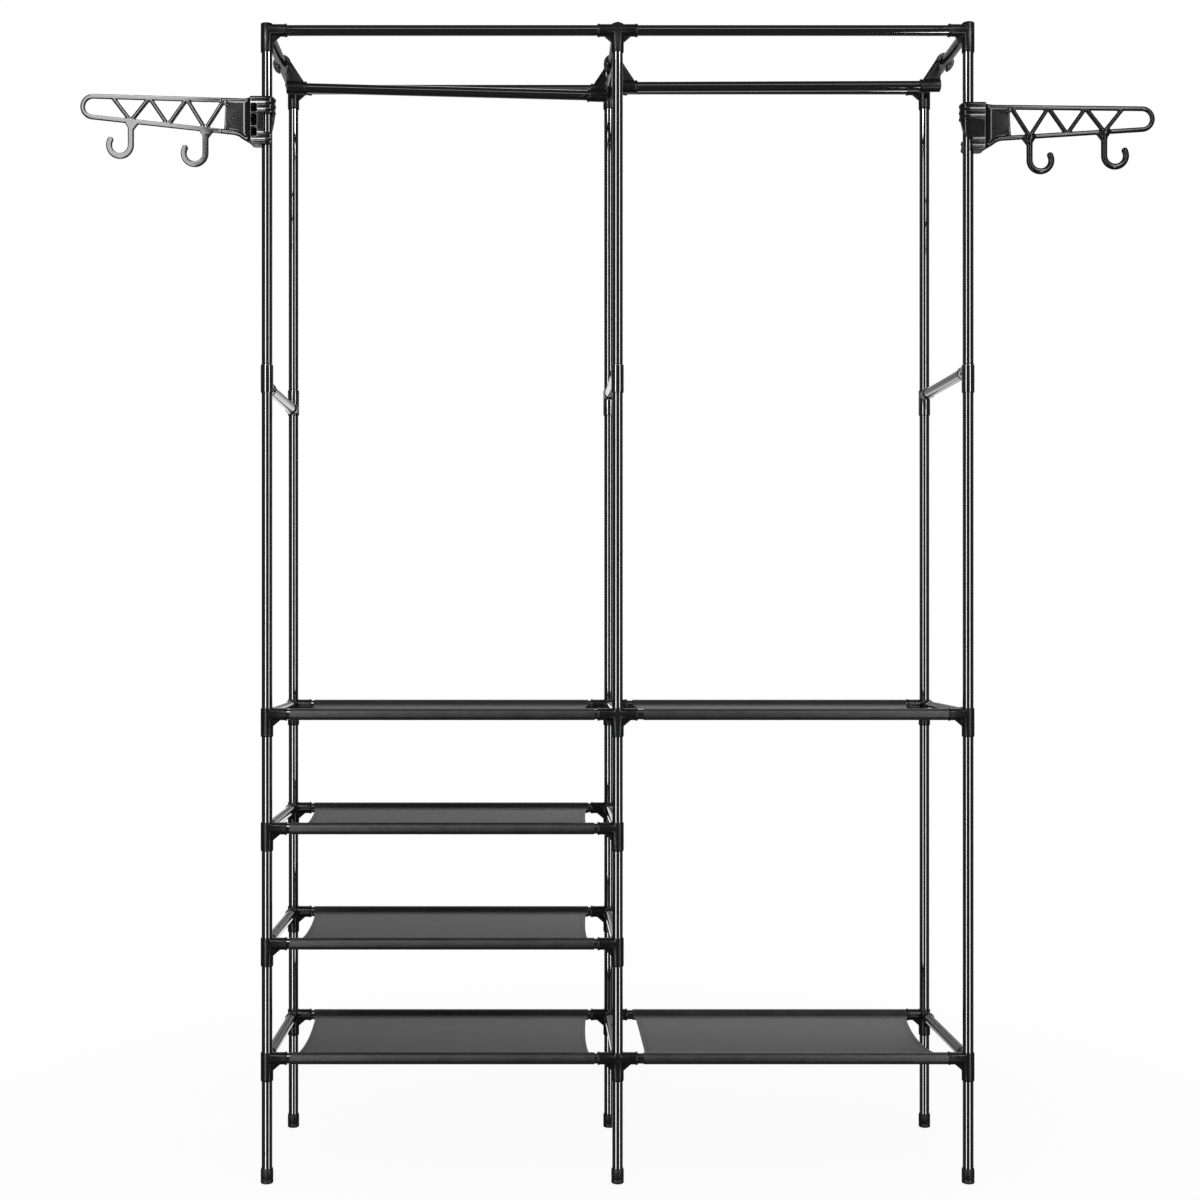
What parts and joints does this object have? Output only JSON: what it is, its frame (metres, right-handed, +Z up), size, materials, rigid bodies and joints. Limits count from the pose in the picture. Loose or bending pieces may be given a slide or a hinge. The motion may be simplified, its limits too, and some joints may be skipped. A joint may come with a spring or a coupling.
{
  "type": "clothes rack",
  "caption": "Free-standing clothes rack of black steel tube, with fabric shelves, hanging rods in side-by-side bays, and swivelling hook arms on the outer front posts.",
  "frame": {"origin": "on the floor under the middle of the rack", "axes": "+Z up; the front of the rack faces -Y, with the four-shelf bay on the -X side"},
  "size_m": [1.5748, 0.2943, 1.7025],
  "materials": {
    "black_steel": "gloss",
    "black_plastic": "satin",
    "foot_plastic": "matte",
    "grey_fabric": "matte"
  },
  "bodies": {
    "root": {"front_left_post": "black_steel", "front_middle_post": "black_steel", "front_right_post": "black_steel", "rear_left_post": "black_steel", "rear_middle_post": "black_steel", "rear_right_post": "black_steel", "level_1_left_front_rail": "black_steel", "level_1_left_rear_rail": "black_steel", "level_1_right_front_rail": "black_steel", "level_1_right_rear_rail": "black_steel", "level_2_left_front_rail": "black_steel", "level_2_left_rear_rail": "black_steel", "level_3_left_front_rail": "black_steel", "level_3_left_rear_rail": "black_steel", "level_4_left_front_rail": "black_steel", "level_4_left_rear_rail": "black_steel", "level_4_right_front_rail": "black_steel", "level_4_right_rear_rail": "black_steel", "top_left_front_rail": "black_steel", "top_left_rear_rail": "black_steel", "top_right_front_rail": "black_steel", "top_right_rear_rail": "black_steel", "level_1_left_side_frame": "black_plastic", "level_1_middle_side_frame": "black_plastic", "level_1_right_side_frame": "black_plastic", "level_2_left_side_frame": "black_plastic", "level_2_middle_side_frame": "black_plastic", "level_3_left_side_frame": "black_plastic", "level_3_middle_side_frame": "black_plastic", "level_4_left_side_frame": "black_plastic", "level_4_middle_side_frame": "black_plastic", "level_4_right_side_frame": "black_plastic", "top_left_side_frame": "black_plastic", "top_middle_side_frame": "black_plastic", "top_right_side_frame": "black_plastic", "brace_left_side_frame": "black_plastic", "brace_middle_side_frame": "black_plastic", "brace_right_side_frame": "black_plastic", "front_left_foot": "foot_plastic", "front_middle_foot": "foot_plastic", "front_right_foot": "foot_plastic", "rear_left_foot": "foot_plastic", "rear_middle_foot": "foot_plastic", "rear_right_foot": "foot_plastic", "level_1_left_shelf": "grey_fabric", "level_1_right_shelf": "grey_fabric", "level_2_left_shelf": "grey_fabric", "level_3_left_shelf": "grey_fabric", "level_4_left_shelf": "grey_fabric", "level_4_right_shelf": "grey_fabric"},
    "left_rod": {"left_hanging_rod": "black_steel", "left_rod_outer_bracket": "black_plastic", "left_rod_inner_bracket": "black_plastic"},
    "left_arm": {"left_hook_arm": "black_plastic"},
    "right_rod": {"right_hanging_rod": "black_steel", "right_rod_outer_bracket": "black_plastic", "right_rod_inner_bracket": "black_plastic"},
    "right_arm": {"right_hook_arm": "black_plastic"}
  },
  "joints": [
    {"name": "left_arm_swing", "type": "hinge", "parent": "root", "child": "left_arm", "pos_m": [-0.514, -0.136, 1.5555], "axis": [0, 0, 1], "range_deg": [-85, 265]},
    {"name": "right_arm_swing", "type": "hinge", "parent": "root", "child": "right_arm", "pos_m": [0.514, -0.136, 1.5467], "axis": [0, 0, -1], "range_deg": [-85, 265]},
    {"name": "left_rod_slide", "type": "slide", "parent": "root", "child": "left_rod", "axis": [0, 1, 0], "range_m": [-0.01, 0.038]},
    {"name": "right_rod_slide", "type": "slide", "parent": "root", "child": "right_rod", "axis": [0, 1, 0], "range_m": [-0.08, 0.016]}
  ]
}
